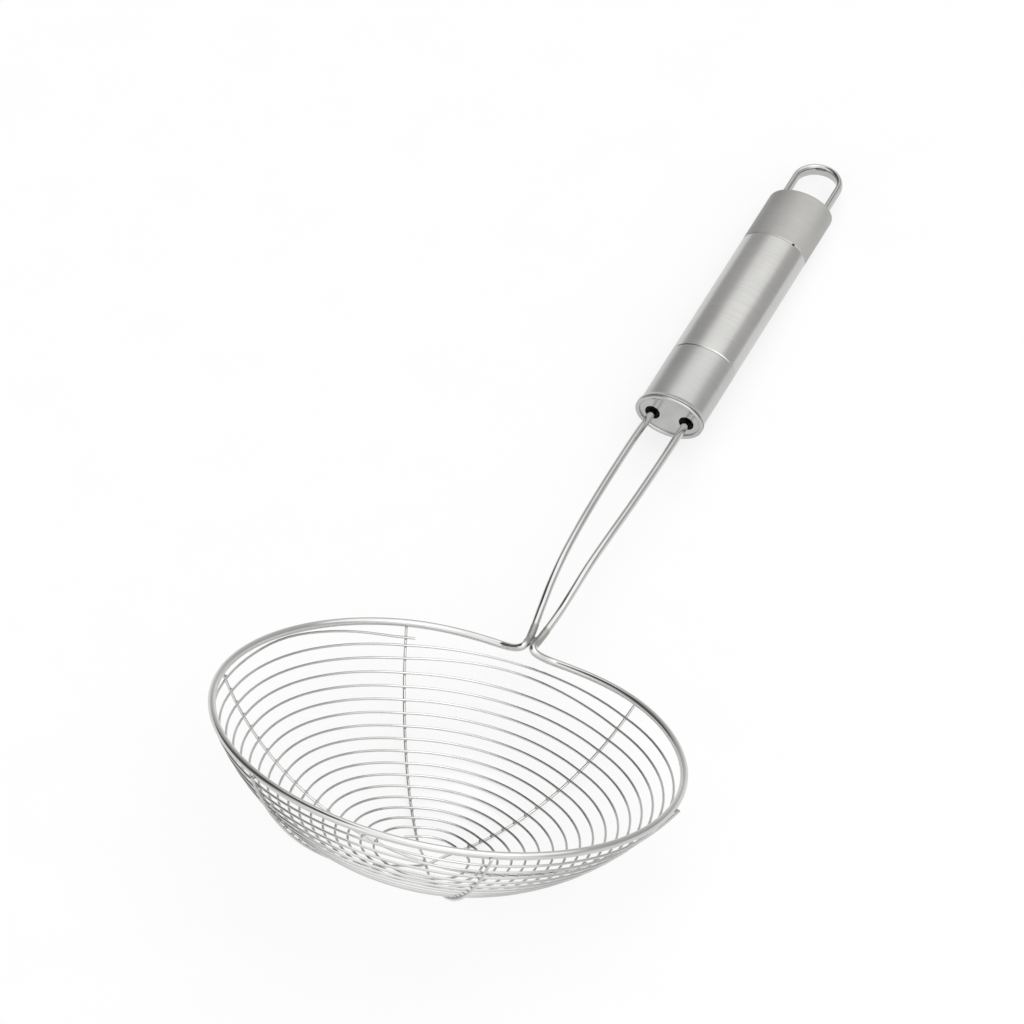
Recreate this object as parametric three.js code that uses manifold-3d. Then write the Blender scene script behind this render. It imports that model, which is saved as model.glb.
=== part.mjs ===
// Wire skimmer: a spiral bowl on wire ribs, hung in a rim that runs on as two legs into a hollow oval handle.
// Millimetres, +Z up. It lies as on a table, on the underside of the bowl and the far end of the handle.
// The origin is on the table below the middle of the whole object, and the handle points along +X.

import * as THREE from 'three';
import { mergeVertices } from 'three/addons/utils/BufferGeometryUtils.js';
import Module from 'manifold-3d';

const radians = THREE.MathUtils.degToRad;

// Clearance between pieces that touch
const FIT_GAP = 0.3;

// Wire diameters
const RIM_WIRE = 2.7;
const RIB_WIRE = 1;
const SPIRAL_WIRE = 0.9;

// Bowl: the rim ring lies in the plane z = 0 round the bowl's axis, and is drawn in towards the neck
const RIM_RADIUS = 80;
const BOWL_DEPTH = 47.3;
const NECK_FLATTENING = 5.4;
const NECK_FLAT_HALF_ANGLE = radians(23.1);

// Neck, where the rim wire's two ends lie side by side: the angle at which they leave the ring, the neck's
// place and slope, and the pulls that shape the bend between
const NECK_HALF_ANGLE = radians(8);
const NECK_INSET = 6.56;
const NECK_RISE = 3.95;
const NECK_SLOPE = radians(7.1);
const NECK_RING_PULL = 3.46;
const NECK_LEG_PULL = 4.77;

// Spiral: turns from the first rib inwards, pitch along the bowl, start below the rim, straight free ends,
// and how far each stretch bows towards the rim between two ribs
const SPIRAL_TURNS = 17;
const SPIRAL_PITCH = 4.78;
const SPIRAL_START_DROP = 3.2;
const SPIRAL_OUTER_TAIL = 3;
const SPIRAL_INNER_TAIL = 5;
const SPIRAL_BOW = 0.55;

// Places where the spiral was bent by hand: turns from its start, lift towards the rim, half length in turns
const SPIRAL_BENDS = [
  { turns: 0, lift: -2.1, reach: 0.033 },
  { turns: 0.095, lift: 1.05, reach: 0.035 },
  { turns: 1.922, lift: 1.65, reach: 0.06 },
];

// Ribs: angle of each from the handle, how far below the rim plane they end, and the half width of the bend
// with which the first passes over the second at the bottom, and the third under it
const RIB_ANGLES = [32, 93, 149].map(radians);
const RIB_END_DROP = 0.5;
const RIB_CROSSING_HALF_ANGLE = radians(7);

// Handle: place and slope of its front in the bowl's frame, and the oval tube
const HANDLE_REACH = 186.7;
const HANDLE_RISE = 47;
const HANDLE_SLOPE = radians(18.8);
const HANDLE_LENGTH = 123.2;
const HANDLE_WIDTH = 24.4;
const HANDLE_HEIGHT = 16.5;
const TUBE_WALL = 0.8;
const GROOVE_PLACES = [30.9, 96.4];
const GROOVE_WIDTH = 0.9;
const GROOVE_DEPTH = 0.3;
const FLARE_HEIGHT = 0.6;
const FLARE_LENGTH = 2.2;
const REAR_ROUND = 1.6;
const REAR_LIP_WIDTH = 2.2;
const REAR_LIP_THICKNESS = 0.9;

// Legs: spacing and drop below the handle's axis where they enter it, and points on the way there: share of
// the way from the neck, lift above the straight line, and how much further from the middle than at the neck
const LEG_SPACING = 12.8;
const LEG_DROP = 0.6;
const LEG_BENDS = [
  { share: 0.034, lift: -0.97, spread: 0.15 },
  { share: 0.137, lift: 0.72, spread: 1.69 },
  { share: 0.208, lift: 3.03, spread: 2.6 },
  { share: 0.305, lift: 5.01, spread: 3.36 },
  { share: 0.428, lift: 5.19, spread: 4.07 },
  { share: 0.587, lift: 4.13, spread: 4.7 },
  { share: 0.763, lift: 2.61, spread: 5.02 },
  { share: 0.895, lift: 1.36, spread: 5.06 },
];

// End caps and the cores that grip the wires
const FLANGE_THICKNESS = 0.9;
const FLANGE_WIDTH = 1.5;
const CAP_RECESS = 0.8;
const CAP_LENGTH = 3.6;
const CAP_HOLE = 5;
const LEG_PLUG_LENGTH = 16;
const REAR_CAP_THICKNESS = 1.6;
const LOOP_PLUG_LENGTH = 14;

// Hanging loop: a bar with an oval section, its legs and the round bend that joins them
const LOOP_BAR_HEIGHT = 4.8;
const LOOP_BAR_THICKNESS = 2.5;
const LOOP_SPACING = 16.3;
const LOOP_LEG_LENGTH = 14;

// Facets
const RIM_SIDES = 8;
const RIM_STEPS = 30;
const BEND_STEPS = 10;
const LEG_STEPS = 30;
const SPIRAL_SIDES = 6;
const SPIRAL_STEPS_PER_SECTOR = 4;
const RIB_SIDES = 6;
const RIB_STEPS = 60;
const OVAL_SIDES = 40;
const ROUND_STEPS = 4;
const LOOP_SIDES = 12;
const LOOP_BEND_STEPS = 16;
const BORE_SIDES = 20;

const STEEL_WIRE = { color: 0xc6c6c2, roughness: 0.22, metalness: 1 };
const STEEL_SATIN = { color: 0xbdbdb8, roughness: 0.4, metalness: 1 };
const STEEL_POLISHED = { color: 0xcfcfcb, roughness: 0.12, metalness: 1 };
const DARK_PLASTIC = { color: 0x24221f, roughness: 0.7, metalness: 0 };

const wasm = await Module();
wasm.setup();

// The ribs lie against the outside of both the rim and the spiral, which sets the bowl's sphere:
// its radius to the middle of the spiral wire, and its centre on the axis above the rim plane
const flush = (SPIRAL_WIRE - RIM_WIRE) / 2;
const bowlRadius = (RIM_RADIUS ** 2 + BOWL_DEPTH ** 2 - flush ** 2) / (2 * (BOWL_DEPTH + flush));
const bowlCentre = bowlRadius - BOWL_DEPTH;
const ribRadius = bowlRadius + SPIRAL_WIRE / 2 + FIT_GAP + RIB_WIRE / 2;

// The handle's own frame: +X along its axis from the front face, +Z out of its upper side
const handleFrame = new THREE.Matrix4()
  .makeRotationY(-HANDLE_SLOPE)
  .setPosition(HANDLE_REACH, 0, HANDLE_RISE);

// Places along the handle's axis, from its front face
const tubeFront = FLANGE_THICKNESS + FIT_GAP;
const legPlugFront = CAP_LENGTH + FIT_GAP;
const legPlugBack = legPlugFront + LEG_PLUG_LENGTH;
const rearCapBack = HANDLE_LENGTH - REAR_LIP_THICKNESS - FIT_GAP;
const rearCapFront = rearCapBack - REAR_CAP_THICKNESS;
const loopPlugBack = rearCapFront - FIT_GAP;
const loopPlugFront = loopPlugBack - LOOP_PLUG_LENGTH;

// A closed skin over a row of rings with equal corner counts, ends filled flat or joined into a loop
function skin(rings, joined = false) {
  const corners = rings[0].length;
  const positions = rings.flat().flatMap((point) => point.toArray());
  const faces = [];
  const last = joined ? rings.length : rings.length - 1;
  for (let i = 0; i < last; i += 1) {
    const here = i * corners;
    const next = ((i + 1) % rings.length) * corners;
    for (let j = 0; j < corners; j += 1) {
      const k = (j + 1) % corners;
      faces.push(here + j, here + k, next + k);
      faces.push(here + j, next + k, next + j);
    }
  }
  if (!joined) {
    const end = last * corners;
    for (let j = 1; j < corners - 1; j += 1) {
      faces.push(0, j + 1, j);
      faces.push(end, end + j, end + j + 1);
    }
  }
  const geometry = new THREE.BufferGeometry();
  geometry.setAttribute('position', new THREE.Float32BufferAttribute(positions, 3));
  geometry.setIndex(faces);
  geometry.computeVertexNormals();
  return geometry;
}

// Corners of an oval section, round where both sizes are equal
function ovalSection(height, width, sides) {
  const section = [];
  for (let i = 0; i < sides; i += 1) {
    const turn = (2 * Math.PI * i) / sides;
    section.push(new THREE.Vector2(Math.cos(turn) * height / 2, Math.sin(turn) * width / 2));
  }
  return section;
}

// A section carried along a row of points, its height kept as near to the first direction as the row allows
function sweep(points, section, heightDirection) {
  const height = heightDirection.clone();
  const rings = points.map((point, i) => {
    const arriving = point.clone().sub(points[Math.max(i - 1, 0)]).normalize();
    const leaving = points[Math.min(i + 1, points.length - 1)].clone().sub(point).normalize();
    const along = arriving.add(leaving).normalize();
    height.addScaledVector(along, -height.dot(along)).normalize();
    const width = along.clone().cross(height);
    return section.map((corner) => (
      point.clone().addScaledVector(height, corner.x).addScaledVector(width, corner.y)
    ));
  });
  return skin(rings);
}

// A solid of oval rings round the handle's axis; each profile entry is a place along it and an inset
// from the tube's outer surface
function ovalSolid(profile, joined = false) {
  const rings = profile.map(([along, inset]) => {
    const ring = [];
    for (let i = 0; i < OVAL_SIDES; i += 1) {
      const turn = (2 * Math.PI * (i + 0.5)) / OVAL_SIDES;
      const side = (HANDLE_WIDTH / 2 - inset) * Math.cos(turn);
      const up = (HANDLE_HEIGHT / 2 - inset) * Math.sin(turn);
      ring.push(new THREE.Vector3(along, side, up));
    }
    return ring;
  });
  return skin(rings, joined);
}

// A straight oval bar along the handle's axis, used to cut the holes for the wires
function axialBar(from, to, side, up, height, width) {
  const points = [from, to].map((along) => new THREE.Vector3(along, side, up));
  return sweep(points, ovalSection(height, width, BORE_SIDES), new THREE.Vector3(0, 0, 1));
}

function toSolid(geometry) {
  const bare = geometry.clone();
  bare.deleteAttribute('normal');
  const merged = mergeVertices(bare);
  return new wasm.Manifold(new wasm.Mesh({
    numProp: 3,
    vertProperties: Float32Array.from(merged.attributes.position.array),
    triVerts: Uint32Array.from(merged.index.array),
  }));
}

function cut(geometry, tools) {
  const result = tools.reduce((solid, tool) => solid.subtract(toSolid(tool)), toSolid(geometry)).getMesh();
  const left = new THREE.BufferGeometry();
  left.setAttribute('position', new THREE.Float32BufferAttribute(result.vertProperties, 3));
  left.setIndex(Array.from(result.triVerts));
  left.computeVertexNormals();
  return left;
}

function piece(name, geometry, finish) {
  const mesh = new THREE.Mesh(geometry, new THREE.MeshStandardMaterial(finish));
  mesh.name = name;
  return mesh;
}

// A point of the bowl's sphere, or of one round the same centre: tilt is measured from the bottom
function bowlPoint(radius, tilt, turn) {
  const out = radius * Math.sin(tilt);
  return new THREE.Vector3(out * Math.cos(turn), out * Math.sin(turn), bowlCentre - radius * Math.cos(tilt));
}

// The rim wire's half on the +Y side: from the ring's far point to the neck, up the leg and into the handle
function halfRimPath() {
  const neckSide = (RIM_WIRE + FIT_GAP) / 2;
  const ringPoint = (turn) => {
    const flat = NECK_FLATTENING * Math.exp(-((turn / NECK_FLAT_HALF_ANGLE) ** 2));
    return new THREE.Vector3(Math.cos(turn), Math.sin(turn), 0).multiplyScalar(RIM_RADIUS - flat);
  };
  const path = [];
  for (let i = 0; i < RIM_STEPS; i += 1) {
    path.push(ringPoint(THREE.MathUtils.lerp(Math.PI, NECK_HALF_ANGLE, i / RIM_STEPS)));
  }
  const ringEnd = ringPoint(NECK_HALF_ANGLE);
  const ringDirection = ringEnd.clone().sub(ringPoint(NECK_HALF_ANGLE + 0.001)).normalize();
  const neck = new THREE.Vector3(RIM_RADIUS - NECK_INSET, neckSide, NECK_RISE);
  const neckDirection = new THREE.Vector3(Math.cos(NECK_SLOPE), 0, Math.sin(NECK_SLOPE));
  const ringPull = ringEnd.clone().addScaledVector(ringDirection, NECK_RING_PULL);
  const neckPull = neck.clone().addScaledVector(neckDirection, -NECK_LEG_PULL);
  const bend = new THREE.CubicBezierCurve3(ringEnd, ringPull, neckPull, neck);
  path.push(...bend.getPoints(BEND_STEPS).slice(0, -1));
  const inHandle = (along) => (
    new THREE.Vector3(along, LEG_SPACING / 2, -LEG_DROP).applyMatrix4(handleFrame)
  );
  const legPoints = LEG_BENDS.map(({ share, lift, spread }) => {
    const point = neck.clone().lerp(inHandle(0), share);
    return point.setY(neckSide + spread).setZ(point.z + lift);
  });
  const leg = new THREE.CatmullRomCurve3([neck, ...legPoints, inHandle(0), inHandle(CAP_LENGTH)]);
  path.push(...leg.getPoints(LEG_STEPS), inHandle(legPlugBack));
  return path;
}

function rimWire() {
  const half = halfRimPath();
  const mirrored = half.slice(1).map((point) => point.clone().setY(-point.y)).reverse();
  const section = ovalSection(RIM_WIRE, RIM_WIRE, RIM_SIDES);
  return sweep([...mirrored, ...half], section, new THREE.Vector3(0, 1, 0));
}

// The spiral's middle line: steps are shared out between the rib ends, so that it meets every rib at a step
function spiralPath() {
  const ribEnds = [...RIB_ANGLES, ...RIB_ANGLES.map((angle) => angle + Math.PI)];
  const startTilt = Math.acos((bowlCentre + SPIRAL_START_DROP) / bowlRadius);
  const point = (turn, share) => {
    const turns = (turn - ribEnds[0]) / (2 * Math.PI);
    let lift = SPIRAL_BOW * Math.sin(Math.PI * share);
    for (const bend of SPIRAL_BENDS) {
      lift += bend.lift * Math.exp(-(((turns - bend.turns) / bend.reach) ** 2));
    }
    return bowlPoint(bowlRadius, startTilt + (lift - turns * SPIRAL_PITCH) / bowlRadius, turn);
  };
  const path = [];
  for (let sector = 0; sector < SPIRAL_TURNS * ribEnds.length; sector += 1) {
    const lap = 2 * Math.PI * Math.floor(sector / ribEnds.length);
    const from = ribEnds[sector % ribEnds.length];
    const to = ribEnds[sector % ribEnds.length + 1] ?? ribEnds[0] + 2 * Math.PI;
    for (let i = 0; i < SPIRAL_STEPS_PER_SECTOR; i += 1) {
      const share = i / SPIRAL_STEPS_PER_SECTOR;
      path.push(point(lap + THREE.MathUtils.lerp(from, to, share), share));
    }
  }
  path.push(point(2 * Math.PI * SPIRAL_TURNS + ribEnds[0], 0));
  const tail = (end, next, length) => end.clone().add(end.clone().sub(next).setLength(length));
  path.unshift(tail(path[0], path[1], SPIRAL_OUTER_TAIL));
  path.push(tail(path.at(-1), path.at(-2), SPIRAL_INNER_TAIL));
  return path;
}

// Least clear distance between points of the spiral that lie half a turn or more apart along it
function leastGap(path) {
  const halfTurn = RIB_ANGLES.length * SPIRAL_STEPS_PER_SECTOR;
  let least = Infinity;
  path.forEach((point, i) => {
    for (let j = i + halfTurn; j < path.length; j += 1) {
      least = Math.min(least, point.distanceTo(path[j]));
    }
  });
  return least - SPIRAL_WIRE;
}

function spiralWire() {
  const path = spiralPath();
  console.log(`least gap between turns of the spiral: ${leastGap(path).toFixed(2)} mm`);
  return sweep(path, ovalSection(SPIRAL_WIRE, SPIRAL_WIRE, SPIRAL_SIDES), new THREE.Vector3(0, 0, 1));
}

// A rib from rim to rim, bent out of the bowl's curve at the bottom where it crosses the other two
function ribWire(turn, crossingDepth) {
  const endTilt = Math.acos((bowlCentre + RIB_END_DROP) / ribRadius);
  const path = [];
  for (let i = 0; i <= RIB_STEPS; i += 1) {
    const tilt = THREE.MathUtils.lerp(-endTilt, endTilt, i / RIB_STEPS);
    const fromCrossing = Math.min(1, Math.abs(tilt) / RIB_CROSSING_HALF_ANGLE);
    const bend = Math.cos((Math.PI / 2) * fromCrossing) ** 2;
    path.push(bowlPoint(ribRadius + crossingDepth * bend, tilt, turn));
  }
  const across = new THREE.Vector3(-Math.sin(turn), Math.cos(turn), 0);
  return sweep(path, ovalSection(RIB_WIRE, RIB_WIRE, RIB_SIDES), across);
}

// Oval tube: flared front, two grooves, rounded far edge turned in to a lip
function handleTube() {
  const outside = [
    [tubeFront, -FLARE_HEIGHT],
    [tubeFront + FLARE_LENGTH / 4, -FLARE_HEIGHT],
    [tubeFront + FLARE_LENGTH / 2, -FLARE_HEIGHT / 2],
    [tubeFront + FLARE_LENGTH, 0],
  ];
  for (const place of GROOVE_PLACES) {
    outside.push([place - GROOVE_WIDTH / 2, 0], [place, GROOVE_DEPTH], [place + GROOVE_WIDTH / 2, 0]);
  }
  for (let i = 0; i <= ROUND_STEPS; i += 1) {
    const bend = (Math.PI / 2) * (i / ROUND_STEPS);
    const along = HANDLE_LENGTH - REAR_ROUND * (1 - Math.sin(bend));
    outside.push([along, REAR_ROUND * (1 - Math.cos(bend))]);
  }
  const inside = [
    [HANDLE_LENGTH, REAR_LIP_WIDTH],
    [HANDLE_LENGTH - REAR_LIP_THICKNESS, REAR_LIP_WIDTH],
    [HANDLE_LENGTH - REAR_LIP_THICKNESS, TUBE_WALL],
    [tubeFront, TUBE_WALL],
  ];
  return ovalSolid([...outside, ...inside], true);
}

// Cap with a rounded flange over the tube's front edge, a recessed face and a hole for each leg
function frontCap() {
  const innerEdge = FLANGE_WIDTH - FLARE_HEIGHT;
  const profile = [[CAP_RECESS, innerEdge]];
  for (let i = 0; i <= 2 * ROUND_STEPS; i += 1) {
    const bend = (Math.PI * i) / (2 * ROUND_STEPS);
    const along = (FLANGE_THICKNESS / 2) * (1 - Math.sin(bend));
    profile.push([along, innerEdge - (FLANGE_WIDTH / 2) * (1 - Math.cos(bend))]);
  }
  profile.push([FLANGE_THICKNESS, -FLARE_HEIGHT]);
  profile.push([FLANGE_THICKNESS, TUBE_WALL + FIT_GAP]);
  profile.push([CAP_LENGTH, TUBE_WALL + FIT_GAP]);
  const holes = [-1, 1].map((hand) => (
    axialBar(-1, CAP_LENGTH + 1, hand * LEG_SPACING / 2, -LEG_DROP, CAP_HOLE, CAP_HOLE)
  ));
  return cut(ovalSolid(profile), holes);
}

// A plug that fits the tube's bore, with holes for a pair of wires or bars
function boredPlug(front, back, spacing, up, height, width) {
  const profile = [front, back].map((along) => [along, TUBE_WALL + FIT_GAP]);
  const holes = [-1, 1].map((hand) => (
    axialBar(front - 1, back + 1, hand * spacing / 2, up, height + 2 * FIT_GAP, width + 2 * FIT_GAP)
  ));
  return cut(ovalSolid(profile), holes);
}

function legAnchorPlug() {
  return boredPlug(legPlugFront, legPlugBack, LEG_SPACING, -LEG_DROP, RIM_WIRE, RIM_WIRE);
}

function slottedPlug(front, back) {
  return boredPlug(front, back, LOOP_SPACING, 0, LOOP_BAR_HEIGHT, LOOP_BAR_THICKNESS);
}

// U of oval bar: both legs start in the core, and a half circle joins them behind the handle
function hangLoop() {
  const bendCentre = HANDLE_LENGTH + LOOP_LEG_LENGTH;
  const path = [new THREE.Vector3(loopPlugFront, -LOOP_SPACING / 2, 0)];
  for (let i = 0; i <= LOOP_BEND_STEPS; i += 1) {
    const bend = (Math.PI * i) / LOOP_BEND_STEPS;
    const out = new THREE.Vector3(Math.sin(bend), -Math.cos(bend), 0);
    path.push(out.multiplyScalar(LOOP_SPACING / 2).add(new THREE.Vector3(bendCentre, 0, 0)));
  }
  path.push(new THREE.Vector3(loopPlugFront, LOOP_SPACING / 2, 0));
  const section = ovalSection(LOOP_BAR_HEIGHT, LOOP_BAR_THICKNESS, LOOP_SIDES);
  return sweep(path, section, new THREE.Vector3(0, 0, 1));
}

// Slope of the rim plane at which the bowl and the handle touch the table together
function restTilt(bowl, handle) {
  const pointsOf = (group) => group.children.flatMap((mesh) => {
    mesh.updateWorldMatrix(true, false);
    const placed = mesh.geometry.attributes.position.clone().applyMatrix4(mesh.matrixWorld);
    return Array.from({ length: placed.count }, (_, i) => new THREE.Vector3().fromBufferAttribute(placed, i));
  });
  const lowest = (points, tilt) => points.reduce((least, point) => (
    Math.min(least, point.z * Math.cos(tilt) - point.x * Math.sin(tilt))
  ), Infinity);
  const bowlPoints = pointsOf(bowl);
  const handlePoints = pointsOf(handle);
  let low = 0;
  let high = Math.PI / 3;
  for (let i = 0; i < 40; i += 1) {
    const middle = (low + high) / 2;
    if (lowest(handlePoints, middle) > lowest(bowlPoints, middle)) {
      low = middle;
    } else {
      high = middle;
    }
  }
  return low;
}

const bowl = new THREE.Group();
bowl.add(piece('rim_wire', rimWire(), STEEL_WIRE));
bowl.add(piece('spiral_wire', spiralWire(), STEEL_WIRE));
RIB_ANGLES.forEach((turn, i) => {
  const crossingDepth = (i - 1) * (RIB_WIRE + FIT_GAP);
  bowl.add(piece(`rib_wire_${i + 1}`, ribWire(turn, crossingDepth), STEEL_WIRE));
});

const handle = new THREE.Group();
handle.applyMatrix4(handleFrame);
handle.add(piece('handle_tube', handleTube(), STEEL_SATIN));
handle.add(piece('front_cap', frontCap(), STEEL_SATIN));
handle.add(piece('rear_cap', slottedPlug(rearCapFront, rearCapBack), STEEL_SATIN));
handle.add(piece('leg_anchor_plug', legAnchorPlug(), DARK_PLASTIC));
handle.add(piece('loop_anchor_plug', slottedPlug(loopPlugFront, loopPlugBack), DARK_PLASTIC));
handle.add(piece('hang_loop', hangLoop(), STEEL_POLISHED));

const lying = new THREE.Group();
lying.rotation.y = restTilt(bowl, handle);
lying.add(bowl, handle);

const skimmer = new THREE.Group();
skimmer.name = 'skimmer';
skimmer.add(lying);
const extent = new THREE.Box3().setFromObject(skimmer, true);
const middle = extent.getCenter(new THREE.Vector3());
skimmer.position.set(-middle.x, -middle.y, -extent.min.z);

export default skimmer;
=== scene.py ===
"""Looks for a wire skimmer that lies on a pale studio floor.

Metres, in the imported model's frame: +Z up, the table at z = 0, the handle along +X.
Each wire is a section swept along its middle line. The handle's pieces are rows of oval rings.
"""

import math

import bmesh
import bpy
import numpy as np
from mathutils import Matrix, Vector


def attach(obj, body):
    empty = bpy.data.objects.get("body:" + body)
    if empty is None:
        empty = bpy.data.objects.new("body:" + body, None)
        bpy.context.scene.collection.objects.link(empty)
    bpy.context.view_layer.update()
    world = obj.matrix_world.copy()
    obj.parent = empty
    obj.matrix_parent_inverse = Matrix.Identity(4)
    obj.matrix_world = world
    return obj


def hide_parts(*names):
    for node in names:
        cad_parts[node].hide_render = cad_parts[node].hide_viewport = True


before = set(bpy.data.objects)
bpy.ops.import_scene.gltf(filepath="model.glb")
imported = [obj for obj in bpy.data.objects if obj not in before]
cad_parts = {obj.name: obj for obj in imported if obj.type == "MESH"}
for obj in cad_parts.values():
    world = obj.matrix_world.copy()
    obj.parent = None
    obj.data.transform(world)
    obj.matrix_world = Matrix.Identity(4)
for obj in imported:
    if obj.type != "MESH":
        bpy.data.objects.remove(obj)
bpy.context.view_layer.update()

# Clearance between pieces that touch
FIT_GAP = 0.0003

# Wire diameters
RIM_WIRE = 0.0027
RIB_WIRE = 0.001
SPIRAL_WIRE = 0.0009

# How the bowl lies: slope of its rim plane, and the middle of its rim
REST_TILT = math.radians(23.8903)
RIM_CENTRE = (-0.130657, 0.0, 0.051619)

# Bowl, with the rim drawn in towards the neck
RIM_RADIUS = 0.080
BOWL_DEPTH = 0.0473
NECK_FLATTENING = 0.0054
NECK_FLAT_HALF_ANGLE = math.radians(23.1)

# Neck, where the rim wire's two ends lie side by side: its place, and the pulls of the bend into it
NECK_HALF_ANGLE = math.radians(8)
NECK_INSET = 0.00656
NECK_RISE = 0.00395
NECK_SLOPE = math.radians(7.1)
NECK_RING_PULL = 0.00346
NECK_LEG_PULL = 0.00477

# Spiral: turns, pitch along the bowl, start below the rim plane, free ends, and bow towards the rim
# between two ribs
SPIRAL_TURNS = 17
SPIRAL_PITCH = 0.00478
SPIRAL_START_DROP = 0.0032
SPIRAL_OUTER_TAIL = 0.003
SPIRAL_INNER_TAIL = 0.005
SPIRAL_BOW = 0.00055

# Bends of the spiral: turns from its start, lift towards the rim, half length in turns
SPIRAL_BENDS = ((0.0, -0.0021, 0.033), (0.095, 0.00105, 0.035), (1.922, 0.00165, 0.06))

# Ribs: angles from the handle, ends below the rim plane, half width of the bend at their crossing,
# and how much each is cut short at the end that its angle names
RIB_ANGLES = tuple(math.radians(angle) for angle in (32, 93, 149))
RIB_END_DROP = 0.0005
RIB_CROSSING_HALF_ANGLE = math.radians(7)
RIB_TRIMS = (0, 0.0013, 0)

# Handle: place and slope of its front in the bowl's frame, and the oval tube
HANDLE_REACH = 0.1867
HANDLE_RISE = 0.047
HANDLE_SLOPE = math.radians(18.8)
HANDLE_LENGTH = 0.1232
HANDLE_WIDTH = 0.0244
HANDLE_HEIGHT = 0.0165
TUBE_WALL = 0.0008
GROOVE_PLACES = (0.0309, 0.0964)
GROOVE_WIDTH = 0.0009
GROOVE_DEPTH = 0.00016
FLARE_HEIGHT = 0.0006
FLARE_LENGTH = 0.0022
FLARE_LEVEL_SHARE = 0.2
REAR_ROUND = 0.0016
REAR_LIP_WIDTH = 0.0022
REAR_LIP_THICKNESS = 0.0009

# Vent hole in the far groove: its angle round the handle, its diameter, and where its drill starts
# and ends as shares of the way from the handle's axis to the surface
VENT_ANGLE = math.radians(126.75)
VENT_HOLE = 0.0011
VENT_DRILL = (0.5, 1.5)

# Legs, with points on the way from the neck: share of the way, lift above a straight line, spread
LEG_SPACING = 0.0128
LEG_DROP = 0.0006
LEG_INSERT = 0.0199
LEG_BENDS = (
    (0.034, -0.00097, 0.00015),
    (0.137, 0.00072, 0.00169),
    (0.208, 0.00303, 0.0026),
    (0.305, 0.00501, 0.00336),
    (0.428, 0.00519, 0.00407),
    (0.587, 0.00413, 0.0047),
    (0.763, 0.00261, 0.00502),
    (0.895, 0.00136, 0.00506),
)

# Front cap
FLANGE_THICKNESS = 0.0009
FLANGE_WIDTH = 0.0015
CAP_RECESS = 0.0008
CAP_LENGTH = 0.0036
CAP_HOLE = 0.0056

# Hanging loop
LOOP_BAR_HEIGHT = 0.0048
LOOP_BAR_THICKNESS = 0.0025
LOOP_SPACING = 0.0163
LOOP_LEG_LENGTH = 0.014
LOOP_INSERT = 0.0171

# Weld spots: half sizes along the rib, along the spiral and out of the bowl
WELD_SPOT = (0.0007, 0.00065, 0.0005)
RIM_WELD_SPOT = (0.0008, 0.0006, 0.0004)

# How far below the rib's end its weld to the rim sits, in radians round the bowl's centre
RIM_WELD_DROP = 0.008

# Seam that joins the legs at the neck: its middle in the bowl's frame and its half sizes
NECK_SEAM = (0.0768, 0.0, 0.0042)
NECK_SEAM_SIZE = (0.0032, 0.0007, 0.0008)

# Rim wire dulled by that seam: the middle of the spot, the radii out to which it is fully dull and
# where it ends, its tone, and the roughness that it adds
NECK_DULL_CENTRE = (0.0783, 0.0, 0.0043)
NECK_DULL_RADII = (0.0052, 0.0062)
NECK_DULL_TONE = (0.40, 0.40, 0.385)
NECK_DULL_ROUGHNESS = 0.4

# Mesh density: corners of each section
RIM_SIDES = 20
SPIRAL_SIDES = 10
RIB_SIDES = 12
LOOP_SIDES = 28
OVAL_SIDES = 144
HOLE_SIDES = 48

# Mesh density: steps along each curve
RING_STEPS = 220
NECK_STEPS = 32
LEG_STEPS = 10
SPIRAL_STEPS_PER_SECTOR = 18
RIB_STEPS = 140
LOOP_STEPS = 64
FLARE_STEPS = 12
GROOVE_STEPS = 12
REAR_ROUND_STEPS = 10
FLANGE_STEPS = 16

# Mesh density: how finely the ball of a weld spot and of the neck's seam is divided
WELD_SUBDIVISIONS = 2
SEAM_SUBDIVISIONS = 3

# Direction of a hole's first corner, askew to the handle's own directions
HOLE_CORNER = (0, 0.6, 0.8)

# Smooth shading: width of the even faces beside a curve, and the angle from which an edge is sharp
EVEN_EDGE = 0.0003
SHARP_EDGE = math.radians(35)

# Steel of the wires: dark and light tone, and least and most roughness
BRIGHT_WIRE = ((0.56, 0.56, 0.55), (0.63, 0.63, 0.62), (0.08, 0.15))
THIN_WIRE = ((0.52, 0.52, 0.51), (0.60, 0.60, 0.59), (0.12, 0.22))
WELD_STEEL = ((0.34, 0.33, 0.32), (0.46, 0.45, 0.43), (0.22, 0.38))
# The loop's steel is darker than the other wires: painted shade, standing in for the shaded floor
# that its faces mirror
POLISHED_BAR_PAINTED_SHADE = ((0.44, 0.44, 0.43), (0.50, 0.50, 0.49), (0.05, 0.09))

# Finish of the handle's three stretches from the front, and half the share of its length over
# which one changes into the next
HANDLE_TONES = ((0.585, 0.585, 0.575), (0.625, 0.62, 0.605), (0.565, 0.56, 0.545))
HANDLE_ROUGHNESS = (0.25, 0.19, 0.62)
STRETCH_EDGE = 0.003

# How far the handle's brushing draws out reflections, how dark its strokes and smears get, and how
# much rougher a smear is
HANDLE_BRUSHING = 0.45
STROKE_TONE = 0.86
SMEAR_TONE = 0.90
SMEAR_ROUGHNESS = 0.08

# Other finishes: dark and light tone, and least and most roughness
SATIN_TONES = ((0.45, 0.45, 0.44), (0.52, 0.52, 0.51))
SATIN_ROUGHNESS = (0.15, 0.22)
PLASTIC_TONES = ((0.02, 0.018, 0.015), (0.036, 0.032, 0.027))
PLASTIC_ROUGHNESS = (0.55, 0.75)
PAPER_TONES = ((0.87, 0.87, 0.87), (0.89, 0.89, 0.89))
PAPER_ROUGHNESS = 0.9

# Patterns: noise cells to a metre, which the handle has along, across and up
WIRE_BLOTCHES = 60
WIRE_MARKS = 900
HANDLE_STROKES = (9000, 90, 90)
HANDLE_SMEARS = (30, 110, 110)
SATIN_BLOTCHES = 120
SATIN_GRAIN = 2500
PLASTIC_GRAIN = 1800
PAPER_GRAIN = 40

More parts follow.
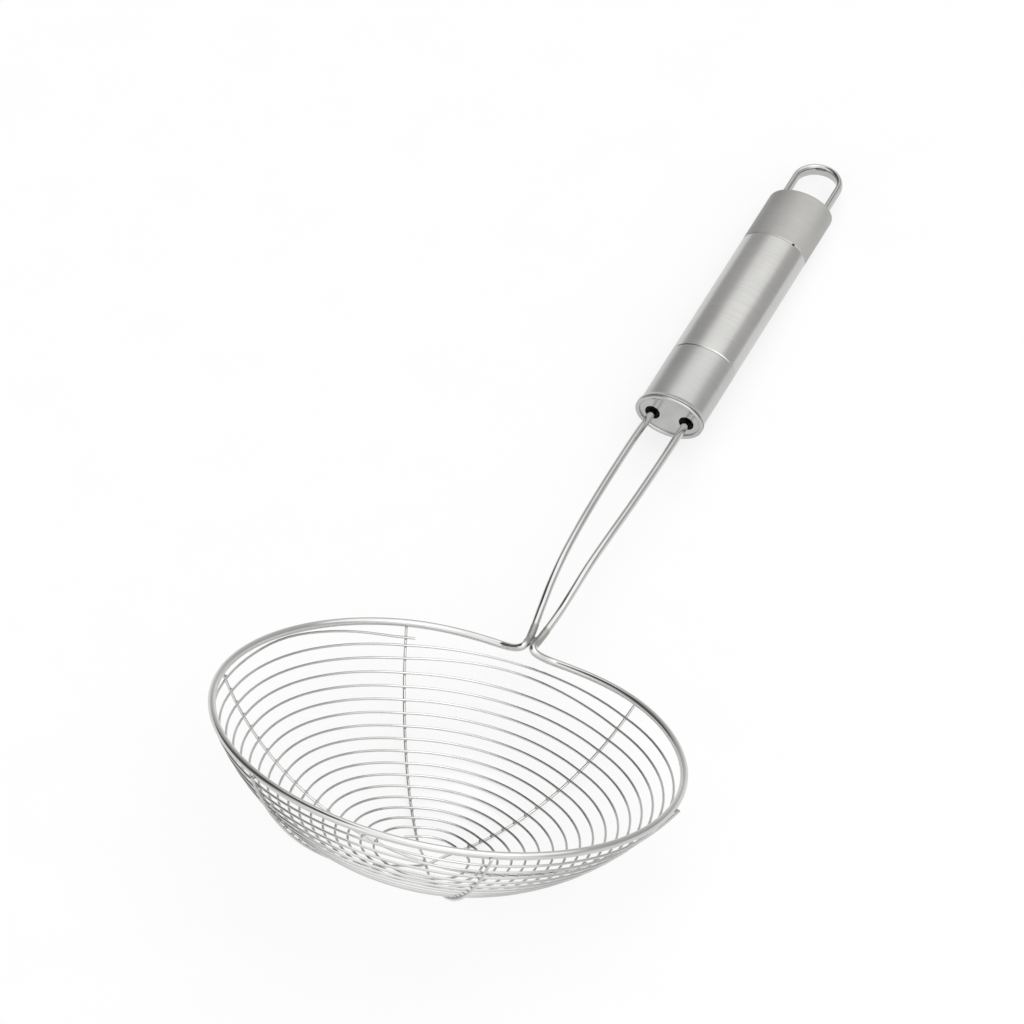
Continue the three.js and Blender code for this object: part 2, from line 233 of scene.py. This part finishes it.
# Noise: its detail, that of the strokes, and the part of its range that is used
NOISE_DETAIL = 3
STROKE_DETAIL = 2
NOISE_RANGE = (0.3, 0.7)

# Relief of these patterns: strength and height
WIRE_RELIEF = (0.08, 0.0001)
HANDLE_RELIEF = (0.15, 0.00005)
SATIN_RELIEF = (0.1, 0.00005)
PLASTIC_RELIEF = (0.3, 0.0001)

# Floor: half its side, and the share of its own white in what the eye and the metal see of it
FLOOR_REACH = 3.0
FLOOR_GLOW = 0.75

# Studio surroundings: brightness near the horizon and overhead, and the elevations in degrees
# between which it changes
HORIZON_LEVEL = 0.68
OVERHEAD_LEVEL = 1.5
LEVEL_CHANGE = (25, 49)

# Patches in them: azimuth from +X, elevation, the angle out to which each is full and the one where
# it ends, all in degrees, and brightness
PATCHES = (
    (-168, 20, 25, 72, 1.4),
    (46, 20, 10, 28, 0.53),
    (82, 24, 21, 35, 0.14),
    (74, 52, 11, 22, 0.03),
    (108, 54, 14, 26, 0.15),
    (-38, 12, 23, 28, 0.56),
)

# Softbox: its place, the side of its square and its power
SOFTBOX_PLACE = (-0.2, -0.5, 1.5)
SOFTBOX_SIDE = 1.0
SOFTBOX_POWER = 3

# Camera: where it looks from, the point it looks at, its lens and its reach
CAMERA_AZIMUTH = math.radians(-67.25)
CAMERA_ELEVATION = math.radians(48.40)
CAMERA_ROLL = math.radians(1.30)
CAMERA_DISTANCE = 3.0
CAMERA_AIM = (-0.071305, 0.003774, 0.101503)
CAMERA_LENS = 316.2
CAMERA_REACH = 20

# Angles: a full turn, a small one to find a curve's direction, and how close two count as equal
FULL_TURN = 2 * math.pi
SMALL_TURN = 0.001
ANGLE_TOLERANCE = 1e-9

# The bowl's sphere through the spiral's middle line, set so that ribs meet both rim and spiral
FLUSH = (SPIRAL_WIRE - RIM_WIRE) / 2
BOWL_RADIUS = (RIM_RADIUS**2 + BOWL_DEPTH**2 - FLUSH**2) / (2 * (BOWL_DEPTH + FLUSH))
BOWL_CENTRE = BOWL_RADIUS - BOWL_DEPTH

# The ribs' sphere round it, the tilt of their ends from the bottom, and the angles of these ends
RIB_RADIUS = BOWL_RADIUS + SPIRAL_WIRE / 2 + FIT_GAP + RIB_WIRE / 2
RIB_END_TILT = math.acos((BOWL_CENTRE + RIB_END_DROP) / RIB_RADIUS)
RIB_ENDS = sorted((angle + half) % FULL_TURN for angle in RIB_ANGLES for half in (0, math.pi))

# Where the tube starts behind the cap's flange
TUBE_FRONT = FLANGE_THICKNESS + FIT_GAP

# From the bowl's and the handle's own frames to the model's, the handle's by way of the bowl's
BOWL_PLACE = Matrix.Translation(RIM_CENTRE) @ Matrix.Rotation(REST_TILT, 4, "Y")
HANDLE_FRONT = Matrix.Translation((HANDLE_REACH, 0, HANDLE_RISE))
HANDLE_IN_BOWL = HANDLE_FRONT @ Matrix.Rotation(-HANDLE_SLOPE, 4, "Y")
HANDLE_PLACE = BOWL_PLACE @ HANDLE_IN_BOWL


def unit(vector):
    return vector / np.linalg.norm(vector)


def even_steps(start, end, steps):
    """Values from start to end, both included, with so many steps between them."""
    return np.linspace(start, end, steps + 1)


def oval(height, width, sides):
    """Corners of an oval section."""
    turn = np.linspace(0, FULL_TURN, sides, endpoint=False)
    return np.column_stack([np.cos(turn) * height / 2, np.sin(turn) * width / 2])


def sweep(points, section, height_direction):
    """Rings of a section carried along a row of points."""
    points = np.asarray(points, float)
    steps = np.diff(points, axis=0)
    steps /= np.linalg.norm(steps, axis=1)[:, None]
    directions = np.vstack([steps[:1], steps[:-1] + steps[1:], steps[-1:]])
    height = np.asarray(height_direction, float)
    rings = []
    for point, direction in zip(points, directions):
        direction = unit(direction)
        height = unit(height - direction * height.dot(direction))
        width = np.cross(direction, height)
        rings.append(point + np.outer(section[:, 0], height) + np.outer(section[:, 1], width))
    return rings


def oval_rings(profile):
    """Rings round the handle's axis.

    Each entry of the profile is a place along the axis and an inset from the tube's surface.
    """
    turn = FULL_TURN * (np.arange(OVAL_SIDES) + 0.5) / OVAL_SIDES
    rings = []
    for along, inset in profile:
        side = (HANDLE_WIDTH / 2 - inset) * np.cos(turn)
        up = (HANDLE_HEIGHT / 2 - inset) * np.sin(turn)
        rings.append(np.column_stack([np.full(OVAL_SIDES, along), side, up]))
    return rings


def skin(name, rings, joined=False):
    """A closed mesh over a row of rings, its ends filled or joined into a loop."""
    count, corners = len(rings), len(rings[0])
    faces = []
    for i in range(count if joined else count - 1):
        here = i * corners
        there = (i + 1) % count * corners
        for j in range(corners):
            k = (j + 1) % corners
            faces.append((here + j, here + k, there + k, there + j))
    if not joined:
        end = (count - 1) * corners
        faces.append(tuple(reversed(range(corners))))
        faces.append(tuple(range(end, end + corners)))
    mesh = bpy.data.meshes.new(name)
    mesh.from_pydata(np.concatenate(rings).tolist(), [], faces)
    return mesh


def drilled(mesh, holes):
    """A mesh with round holes cut out; each hole is the two ends of its axis and its diameter."""
    blank = bpy.data.objects.new("blank", mesh)
    bpy.context.scene.collection.objects.link(blank)
    cutters = []
    for start, end, diameter in holes:
        rings = sweep((start, end), oval(diameter, diameter, HOLE_SIDES), HOLE_CORNER)
        cutter = bpy.data.objects.new("cutter", skin("cutter", rings))
        bpy.context.scene.collection.objects.link(cutter)
        cutters.append(cutter)
        cut = blank.modifiers.new("hole", "BOOLEAN")
        cut.operation = "DIFFERENCE"
        cut.solver = "EXACT"
        cut.object = cutter
    graph = bpy.context.evaluated_depsgraph_get()
    result = bpy.data.meshes.new_from_object(blank.evaluated_get(graph))
    for scrap in (blank, *cutters):
        bpy.data.objects.remove(scrap)
    return result


def add_piece(name, mesh, place, material, node=None):
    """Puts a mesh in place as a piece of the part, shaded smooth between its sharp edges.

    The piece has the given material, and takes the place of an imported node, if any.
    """
    mesh.transform(place)
    mesh.shade_smooth()
    mesh.set_sharp_from_angle(angle=SHARP_EDGE)
    mesh.materials.clear()
    mesh.materials.append(material)
    piece = bpy.data.objects.new(name, mesh)
    bpy.context.scene.collection.objects.link(piece)
    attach(piece, "root")
    if node:
        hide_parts(node)


def bezier(start, first, second, end, steps):
    """Points of a cubic curve, both ends included."""
    share = even_steps(0, 1, steps)[:, None]
    rest = 1 - share
    near_start = rest**3 * start + 3 * rest**2 * share * first
    return near_start + 3 * rest * share**2 * second + share**3 * end


def smooth_row(points, steps):
    """A smooth centripetal curve through a row of points, with so many steps between each two."""
    points = np.asarray(points, float)
    row = np.vstack([2 * points[0] - points[1], points, 2 * points[-1] - points[-2]])
    knots = np.linalg.norm(np.diff(row, axis=0), axis=1) ** 0.5
    curve = []
    for i in range(len(points) - 1):
        before, start, end, after = row[i : i + 4]
        first, middle, last = knots[i : i + 3]
        along = (end - start) / middle
        leaving = (start - before) / first - (end - before) / (first + middle) + along
        arriving = along - (after - start) / (middle + last) + (after - end) / last
        pulls = start + leaving * middle / 3, end - arriving * middle / 3
        curve.append(bezier(start, *pulls, end, steps)[:-1])
    return np.vstack([*curve, points[-1:]])


def bowl_point(radius, tilt, turn):
    """A point of a sphere round the bowl's centre; tilt is measured from the bottom."""
    out = radius * math.sin(tilt)
    height = BOWL_CENTRE - radius * math.cos(tilt)
    return np.array([out * math.cos(turn), out * math.sin(turn), height])


def rim_path():
    """The rim wire's middle line: out of the handle, down one leg, round the ring and back."""
    neck_side = (RIM_WIRE + FIT_GAP) / 2

    def ring(turns):
        radii = RIM_RADIUS - NECK_FLATTENING * np.exp(-((turns / NECK_FLAT_HALF_ANGLE) ** 2))
        return np.column_stack([radii * np.cos(turns), radii * np.sin(turns), np.zeros_like(turns)])

    def in_handle(along):
        return np.array(HANDLE_IN_BOWL @ Vector((along, LEG_SPACING / 2, -LEG_DROP)))

    around = ring(even_steps(math.pi, NECK_HALF_ANGLE, RING_STEPS))
    before, ring_end = ring(NECK_HALF_ANGLE + np.array([SMALL_TURN, 0]))
    leaving = ring_end + unit(ring_end - before) * NECK_RING_PULL
    neck = np.array([RIM_RADIUS - NECK_INSET, neck_side, NECK_RISE])
    outward = np.array([math.cos(NECK_SLOPE), 0, math.sin(NECK_SLOPE)])
    bend = bezier(ring_end, leaving, neck - outward * NECK_LEG_PULL, neck, NECK_STEPS)
    leg = [neck]
    for share, lift, spread in LEG_BENDS:
        point = neck + (in_handle(0) - neck) * share
        leg.append((point[0], neck_side + spread, point[2] + lift))
    leg = smooth_row([*leg, in_handle(0), in_handle(CAP_LENGTH)], LEG_STEPS)
    half = np.vstack([around[:-1], bend[:-1], leg, in_handle(LEG_INSERT)])
    return np.vstack([half[:0:-1] * (1, -1, 1), half])


def spiral_point(turns):
    """A point of the spiral's middle line, so many turns from its start at the first rib."""
    turn = RIB_ANGLES[0] + FULL_TURN * turns
    here = turn % FULL_TURN
    passed = [end for end in RIB_ENDS if end <= here + ANGLE_TOLERANCE]
    coming = [end for end in RIB_ENDS if end > here + ANGLE_TOLERANCE]
    before = passed[-1] if passed else RIB_ENDS[-1] - FULL_TURN
    after = coming[0] if coming else RIB_ENDS[0] + FULL_TURN
    lift = SPIRAL_BOW * math.sin(math.pi * (here - before) / (after - before))
    for place, height, reach in SPIRAL_BENDS:
        lift += height * math.exp(-(((turns - place) / reach) ** 2))
    start = math.acos((BOWL_CENTRE + SPIRAL_START_DROP) / BOWL_RADIUS)
    return bowl_point(BOWL_RADIUS, start + (lift - turns * SPIRAL_PITCH) / BOWL_RADIUS, turn)


def spiral_path():
    """The spiral's middle line from the rim to the bottom, with its two free ends."""
    steps = SPIRAL_TURNS * len(RIB_ENDS) * SPIRAL_STEPS_PER_SECTOR
    path = [spiral_point(turns) for turns in even_steps(0, SPIRAL_TURNS, steps)]
    path.insert(0, path[0] + unit(path[0] - path[1]) * SPIRAL_OUTER_TAIL)
    path.append(path[-1] + unit(path[-1] - path[-2]) * SPIRAL_INNER_TAIL)
    return path


def rib_path(turn, crossing_depth, trim):
    """A rib from rim to rim, bent out of the bowl's curve where it crosses the other two."""
    path = []
    for tilt in even_steps(-RIB_END_TILT, RIB_END_TILT - trim / RIB_RADIUS, RIB_STEPS):
        bend = math.cos(math.pi / 2 * min(1, abs(tilt) / RIB_CROSSING_HALF_ANGLE)) ** 2
        path.append(bowl_point(RIB_RADIUS + crossing_depth * bend, tilt, turn))
    return path


def weld_mesh():
    """Spots where the spiral crosses the ribs and the ribs meet the rim, and the neck's seam."""
    mesh = bmesh.new()
    bowl_centre = np.array([0, 0, BOWL_CENTRE])

    def spot(centre, turn, half_sizes):
        out = unit(centre - bowl_centre)
        around = np.array([-math.sin(turn), math.cos(turn), 0])
        axes = Matrix(np.column_stack([np.cross(out, around), around, out]).tolist()).to_4x4()
        place = Matrix.Translation(Vector(centre)) @ axes @ Matrix.Diagonal((*half_sizes, 1))
        bmesh.ops.create_icosphere(mesh, subdivisions=WELD_SUBDIVISIONS, radius=1, matrix=place)

    for angle in [*RIB_ANGLES, *(angle + math.pi for angle in RIB_ANGLES)]:
        share = (angle - RIB_ANGLES[0]) / FULL_TURN
        for lap in range(SPIRAL_TURNS):
            crossing = spiral_point(lap + share)
            outward = unit(crossing - bowl_centre)
            spot(crossing + outward * (SPIRAL_WIRE + FIT_GAP) / 2, angle, WELD_SPOT)
        between = RIB_RADIUS - RIB_WIRE / 2 - FIT_GAP / 2
        spot(bowl_point(between, RIB_END_TILT - RIM_WELD_DROP, angle), angle, RIM_WELD_SPOT)
    seam = Matrix.Translation(NECK_SEAM) @ Matrix.Diagonal((*NECK_SEAM_SIZE, 1))
    bmesh.ops.create_icosphere(mesh, subdivisions=SEAM_SUBDIVISIONS, radius=1, matrix=seam)
    made = bpy.data.meshes.new("weld_spots")
    mesh.to_mesh(made)
    mesh.free()
    return made


def loop_path():
    """U of bar: both legs start inside the handle, and a half circle joins them behind it."""
    centre = HANDLE_LENGTH + LOOP_LEG_LENGTH
    radius = LOOP_SPACING / 2
    path = [(HANDLE_LENGTH - LOOP_INSERT, -radius, 0)]
    for bend in even_steps(0, math.pi, LOOP_STEPS):
        path.append((centre + radius * math.sin(bend), -radius * math.cos(bend), 0))
    path.append((HANDLE_LENGTH - LOOP_INSERT, radius, 0))
    return path


def tube_profile():
    """Flared front, two grooves, rounded far edge turned in to a lip, and back along the bore."""
    outside = []
    for share in even_steps(0, 1, FLARE_STEPS):
        falling = max(0, share - FLARE_LEVEL_SHARE) / (1 - FLARE_LEVEL_SHARE)
        rise = 0.5 + 0.5 * math.cos(math.pi * falling)
        outside.append((TUBE_FRONT + FLARE_LENGTH * share, -FLARE_HEIGHT * rise))
    outside.append((TUBE_FRONT + FLARE_LENGTH + EVEN_EDGE, 0))
    for place in GROOVE_PLACES:
        outside.append((place - GROOVE_WIDTH / 2 - EVEN_EDGE, 0))
        for share in even_steps(-1, 1, GROOVE_STEPS):
            depth = GROOVE_DEPTH * math.cos(math.pi / 2 * share) ** 2
            outside.append((place + share * GROOVE_WIDTH / 2, depth))
        outside.append((place + GROOVE_WIDTH / 2 + EVEN_EDGE, 0))
    outside.append((HANDLE_LENGTH - REAR_ROUND - EVEN_EDGE, 0))
    for bend in even_steps(0, math.pi / 2, REAR_ROUND_STEPS):
        along = HANDLE_LENGTH - REAR_ROUND * (1 - math.sin(bend))
        outside.append((along, REAR_ROUND * (1 - math.cos(bend))))
    inside = [
        (HANDLE_LENGTH, REAR_LIP_WIDTH),
        (HANDLE_LENGTH - REAR_LIP_THICKNESS, REAR_LIP_WIDTH),
        (HANDLE_LENGTH - REAR_LIP_THICKNESS, TUBE_WALL),
        (TUBE_FRONT, TUBE_WALL),
    ]
    return outside + inside


def tube_mesh():
    """The tube with its vent hole, drilled through the wall on one side."""
    side = HANDLE_WIDTH / 2 * math.cos(VENT_ANGLE)
    up = HANDLE_HEIGHT / 2 * math.sin(VENT_ANGLE)
    inner, outer = ((GROOVE_PLACES[1], side * share, up * share) for share in VENT_DRILL)
    tube = skin("tube", oval_rings(tube_profile()), joined=True)
    return drilled(tube, [(inner, outer, VENT_HOLE)])


def cap_profile():
    """Recessed face, rounded flange over the tube's edge, and the plug that goes into the tube."""
    inner = FLANGE_WIDTH - FLARE_HEIGHT
    profile = [(CAP_RECESS, inner)]
    for bend in even_steps(0, math.pi, FLANGE_STEPS):
        along = FLANGE_THICKNESS / 2 * (1 - math.sin(bend))
        profile.append((along, inner - FLANGE_WIDTH / 2 * (1 - math.cos(bend))))
    profile.append((FLANGE_THICKNESS, -FLARE_HEIGHT))
    profile.append((FLANGE_THICKNESS, TUBE_WALL + FIT_GAP))
    profile.append((CAP_LENGTH, TUBE_WALL + FIT_GAP))
    return profile


def cap_mesh():
    """The front cap with its two leg holes, drilled right through."""
    holes = []
    for side in (-LEG_SPACING / 2, LEG_SPACING / 2):
        start, end = ((along, side, -LEG_DROP) for along in (-CAP_LENGTH, 2 * CAP_LENGTH))
        holes.append((start, end, CAP_HOLE))
    return drilled(skin("cap", oval_rings(cap_profile())), holes)


class Nodes:
    """The node tree of a material or world, with short ways to add nodes and join them."""

    def __init__(self, owner):
        owner.use_nodes = True
        self.tree = owner.node_tree

    def feed(self, socket, value):
        """Joins a node's output to a socket, or sets the socket to a number, place or colour."""
        if isinstance(value, bpy.types.NodeSocket):
            self.tree.links.new(value, socket)
        elif socket.type == "RGBA":
            socket.default_value = (*value, 1)
        else:
            socket.default_value = value

    def add(self, kind, inputs=None, **settings):
        """A node with its settings made and its inputs fed."""
        node = self.tree.nodes.new(kind)
        for key, value in settings.items():
            setattr(node, key, value)
        for key, value in (inputs or {}).items():
            self.feed(node.inputs[key], value)
        return node


class Shader(Nodes):
    """A new material's node tree round its surface node."""

    def __init__(self, name):
        self.material = bpy.data.materials.new(name)
        super().__init__(self.material)
        self.surface = self.tree.nodes["Principled BSDF"]

    def set(self, name, value):
        self.feed(self.surface.inputs[name], value)

    def coordinates(self):
        return self.add("ShaderNodeTexCoord").outputs["Object"]

    def in_handle(self):
        """Coordinates in the handle's own frame: X along its axis from the front."""
        place = {
            "Vector": self.coordinates(),
            "Location": HANDLE_PLACE.to_translation(),
            "Rotation": HANDLE_PLACE.to_euler(),
        }
        return self.add("ShaderNodeMapping", place, vector_type="TEXTURE").outputs["Vector"]

    def stretched(self, vector, scale):
        return self.add("ShaderNodeMapping", {"Vector": vector, "Scale": scale}).outputs["Vector"]

    def noise(self, vector, scale, detail=NOISE_DETAIL):
        inputs = {"Vector": vector, "Scale": scale, "Detail": detail}
        return self.add("ShaderNodeTexNoise", inputs).outputs["Fac"]

    def between(self, value, source, target):
        """A value carried from one range to another."""
        inputs = {"Value": value}
        inputs["From Min"], inputs["From Max"] = source
        inputs["To Min"], inputs["To Max"] = target
        return self.add("ShaderNodeMapRange", inputs).outputs["Result"]

    def near(self, point, radii, vector):
        """One within the first distance of a point, and nothing beyond the second."""
        inputs = {0: vector, 1: point}
        distance = self.add("ShaderNodeVectorMath", inputs, operation="DISTANCE")
        return self.between(distance.outputs["Value"], radii, (1, 0))

    def mixed(self, share, first, second, how="MIX"):
        """Two colours mixed by a share; several sockets have one name, so they go by number."""
        inputs = {0: share, 6: first, 7: second}
        return self.add("ShaderNodeMix", inputs, data_type="RGBA", blend_type=how).outputs[2]

    def raised(self, value, other, factor):
        """A value with so much of another added."""
        inputs = {0: other, 1: factor, 2: value}
        return self.add("ShaderNodeMath", inputs, operation="MULTIPLY_ADD").outputs["Value"]

    def tints(self, value, places, colours):
        """Colours along a value, each at its place."""
        node = self.add("ShaderNodeValToRGB", {"Fac": value})
        elements = node.color_ramp.elements
        while len(elements) < len(places):
            elements.new(1)
        for element, place, colour in zip(elements, places, colours):
            element.position = place
            element.color = (*colour, 1)
        return node.outputs["Color"]

    def bump(self, height, relief):
        strength, distance = relief
        inputs = {"Height": height, "Strength": strength, "Distance": distance}
        self.set("Normal", self.add("ShaderNodeBump", inputs).outputs["Normal"])


def wire_steel(name, dark, light, roughness, dulled=False):
    """Drawn steel with faint blotches, uneven polish and fine die marks, dulled at the neck or not.

    The roughness is its least and most.
    """
    shader = Shader(name)
    place = shader.coordinates()
    tone = shader.tints(shader.noise(place, WIRE_BLOTCHES), NOISE_RANGE, (dark, light))
    marks = shader.noise(place, WIRE_MARKS)
    polish = shader.between(marks, NOISE_RANGE, roughness)
    if dulled:
        dull = shader.near(BOWL_PLACE @ Vector(NECK_DULL_CENTRE), NECK_DULL_RADII, place)
        tone = shader.mixed(dull, tone, NECK_DULL_TONE)
        polish = shader.raised(polish, dull, NECK_DULL_ROUGHNESS)
    shader.set("Metallic", 1)
    shader.set("Base Color", tone)
    shader.set("Roughness", polish)
    shader.bump(marks, WIRE_RELIEF)
    return shader.material


def handle_steel(name):
    """Satin front, brushed middle and matte rear; the brushing runs round the handle."""
    shader = Shader(name)
    place = shader.in_handle()
    split = shader.add("ShaderNodeSeparateXYZ", {"Vector": place})
    along = shader.between(split.outputs["X"], (0, HANDLE_LENGTH), (0, 1))
    changes = []
    for groove in GROOVE_PLACES:
        share = groove / HANDLE_LENGTH
        changes += [share - STRETCH_EDGE, share + STRETCH_EDGE]

    def by_stretch(front, middle, rear):
        return shader.tints(along, changes, (front, middle, middle, rear))

    tone = by_stretch(*HANDLE_TONES)
    polish = by_stretch(*((level,) * 3 for level in HANDLE_ROUGHNESS))
    strokes = shader.noise(shader.stretched(place, HANDLE_STROKES), 1, STROKE_DETAIL)
    smears = shader.noise(shader.stretched(place, HANDLE_SMEARS), 1)
    for pattern, darkest in ((strokes, STROKE_TONE), (smears, SMEAR_TONE)):
        shade = shader.tints(pattern, NOISE_RANGE, ((darkest,) * 3, (1, 1, 1)))
        tone = shader.mixed(1, tone, shade, "MULTIPLY")
    axis = shader.add("ShaderNodeCombineXYZ", dict(enumerate(HANDLE_PLACE.to_3x3().col[0])))
    shader.set("Metallic", 1)
    shader.set("Base Color", tone)
    shader.set("Roughness", shader.raised(polish, smears, SMEAR_ROUGHNESS))
    shader.set("Anisotropic", HANDLE_BRUSHING)
    shader.set("Tangent", axis.outputs["Vector"])
    shader.bump(strokes, HANDLE_RELIEF)
    return shader.material


def satin_steel(name):
    """Pressed sheet with a fine even satin."""
    shader = Shader(name)
    place = shader.in_handle()
    grain = shader.noise(place, SATIN_GRAIN)
    blotches = shader.noise(place, SATIN_BLOTCHES)
    shader.set("Metallic", 1)
    shader.set("Base Color", shader.tints(blotches, NOISE_RANGE, SATIN_TONES))
    shader.set("Roughness", shader.between(grain, NOISE_RANGE, SATIN_ROUGHNESS))
    shader.bump(grain, SATIN_RELIEF)
    return shader.material


def dark_plastic(name):
    """Moulded core with a fine grain."""
    shader = Shader(name)
    grain = shader.noise(shader.coordinates(), PLASTIC_GRAIN)
    shader.set("Base Color", shader.tints(grain, NOISE_RANGE, PLASTIC_TONES))
    shader.set("Roughness", shader.between(grain, NOISE_RANGE, PLASTIC_ROUGHNESS))
    shader.bump(grain, PLASTIC_RELIEF)
    return shader.material


def build_wires():
    """The bowl's wires and welds, and the hanging loop."""
    bright = wire_steel("bright_wire", *BRIGHT_WIRE, dulled=True)
    thin = wire_steel("thin_wire", *THIN_WIRE)
    weld = wire_steel("weld_steel", *WELD_STEEL)
    # The loop's darker tone is painted shade for the shaded floor that it mirrors
    loop_steel_painted_shade = wire_steel("polished_bar_painted_shade", *POLISHED_BAR_PAINTED_SHADE)

    rings = sweep(rim_path(), oval(RIM_WIRE, RIM_WIRE, RIM_SIDES), (0, 1, 0))
    add_piece("rim", skin("rim", rings), BOWL_PLACE, bright, "rim_wire")

    rings = sweep(spiral_path(), oval(SPIRAL_WIRE, SPIRAL_WIRE, SPIRAL_SIDES), (0, 0, 1))
    add_piece("spiral", skin("spiral", rings), BOWL_PLACE, thin, "spiral_wire")

    for i, turn in enumerate(RIB_ANGLES):
        name = f"rib_{i + 1}"
        crossing_depth = (i - 1) * (RIB_WIRE + FIT_GAP)
        path = rib_path(turn, crossing_depth, RIB_TRIMS[i])
        across = (-math.sin(turn), math.cos(turn), 0)
        rings = sweep(path, oval(RIB_WIRE, RIB_WIRE, RIB_SIDES), across)
        add_piece(name, skin(name, rings), BOWL_PLACE, thin, f"rib_wire_{i + 1}")

    add_piece("welds", weld_mesh(), BOWL_PLACE, weld)

    # Hanging loop, in the steel with painted shade
    rings = sweep(loop_path(), oval(LOOP_BAR_HEIGHT, LOOP_BAR_THICKNESS, LOOP_SIDES), (0, 0, 1))
    add_piece("loop", skin("loop", rings), HANDLE_PLACE, loop_steel_painted_shade, "hang_loop")


def build_handle():
    """The tube and front cap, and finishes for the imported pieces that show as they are."""
    satin = satin_steel("satin_sheet")
    brushed = handle_steel("brushed_tube")
    plastic = dark_plastic("core_plastic")
    add_piece("tube", tube_mesh(), HANDLE_PLACE, brushed, "handle_tube")
    add_piece("cap", cap_mesh(), HANDLE_PLACE, satin, "front_cap")
    finishes = {"rear_cap": satin, "leg_anchor_plug": plastic, "loop_anchor_plug": plastic}
    for node, material in finishes.items():
        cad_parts[node].data.materials.clear()
        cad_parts[node].data.materials.append(material)


def build_floor():
    """A wide pale floor that looks white where it is lit and keeps the soft shadow."""
    shader = Shader("floor_paper")
    paper = shader.noise(shader.coordinates(), PAPER_GRAIN)
    shader.set("Base Color", shader.tints(paper, NOISE_RANGE, PAPER_TONES))
    shader.set("Roughness", PAPER_ROUGHNESS)
    shader.set("Specular IOR Level", 0)
    rays = shader.add("ShaderNodeLightPath").outputs
    seen = rays["Is Camera Ray"]
    for kind in ("Is Glossy Ray", "Is Transmission Ray"):
        either = shader.add("ShaderNodeMath", {0: seen, 1: rays[kind]}, operation="MAXIMUM")
        seen = either.outputs["Value"]
    share = shader.between(seen, (0, 1), (0, FLOOR_GLOW))
    glow = shader.add("ShaderNodeEmission", {"Color": (1, 1, 1)})
    parts = {0: share, 1: shader.surface.outputs["BSDF"], 2: glow.outputs["Emission"]}
    mixed = shader.add("ShaderNodeMixShader", parts)
    output = shader.tree.nodes["Material Output"]
    shader.feed(output.inputs["Surface"], mixed.outputs["Shader"])

    signs = ((-1, -1), (1, -1), (1, 1), (-1, 1))
    corners = [(x * FLOOR_REACH, y * FLOOR_REACH, 0) for x, y in signs]
    mesh = bpy.data.meshes.new("floor")
    mesh.from_pydata(corners, [], [(0, 1, 2, 3)])
    mesh.materials.append(shader.material)
    floor = bpy.data.objects.new("floor", mesh)
    bpy.context.scene.collection.objects.link(floor)


def build_world():
    """Studio surroundings that get brighter overhead, with lighter and darker patches in them."""
    world = bpy.data.worlds.new("studio")
    bpy.context.scene.world = world
    nodes = Nodes(world)
    direction = nodes.add("ShaderNodeTexCoord").outputs["Generated"]

    def turned(level, towards, end, full, brightness):
        """The level, changed to another brightness within these angles of a direction."""
        both = {0: direction, 1: towards}
        facing = nodes.add("ShaderNodeVectorMath", both, operation="DOT_PRODUCT")
        angles = {
            "Value": facing.outputs["Value"],
            "From Min": math.cos(math.radians(end)),
            "From Max": math.cos(math.radians(full)),
        }
        share = nodes.add("ShaderNodeMapRange", angles, interpolation_type="SMOOTHSTEP")
        levels = {"Factor": share.outputs["Result"], "A": level, "B": brightness}
        return nodes.add("ShaderNodeMix", levels).outputs["Result"]

    zenith = 90
    low, high = LEVEL_CHANGE
    level = turned(HORIZON_LEVEL, (0, 0, 1), zenith - low, zenith - high, OVERHEAD_LEVEL)
    for azimuth, elevation, full, end, brightness in PATCHES:
        turn, rise = math.radians(azimuth), math.radians(elevation)
        out = math.cos(rise)
        towards = (math.cos(turn) * out, math.sin(turn) * out, math.sin(rise))
        level = turned(level, towards, end, full, brightness)
    nodes.feed(nodes.tree.nodes["Background"].inputs["Color"], level)


def build_softbox():
    """One soft lamp, aimed at the floor's middle."""
    light = bpy.data.lights.new("overhead", "AREA")
    light.size = SOFTBOX_SIDE
    light.energy = SOFTBOX_POWER
    lamp = bpy.data.objects.new("overhead", light)
    lamp.location = SOFTBOX_PLACE
    lamp.rotation_euler = (-Vector(SOFTBOX_PLACE)).to_track_quat("-Z", "Y").to_euler()
    bpy.context.scene.collection.objects.link(lamp)


def build_camera():
    """A long lens from the photograph's side."""
    out = math.cos(CAMERA_ELEVATION)
    back = Vector((
        math.sin(CAMERA_AZIMUTH) * out,
        -math.cos(CAMERA_AZIMUTH) * out,
        math.sin(CAMERA_ELEVATION),
    ))
    camera = bpy.data.objects.new("camera", bpy.data.cameras.new("camera"))
    camera.data.lens = CAMERA_LENS
    camera.data.clip_end = CAMERA_REACH
    camera.location = Vector(CAMERA_AIM) + back * CAMERA_DISTANCE
    level = (-back).to_track_quat("-Z", "Y").to_matrix()
    camera.rotation_euler = (level @ Matrix.Rotation(CAMERA_ROLL, 3, "Z")).to_euler()
    bpy.context.scene.collection.objects.link(camera)
    bpy.context.scene.camera = camera


build_wires()
build_handle()
build_floor()
build_world()
build_softbox()
build_camera()
bpy.context.scene.view_settings.view_transform = "Standard"
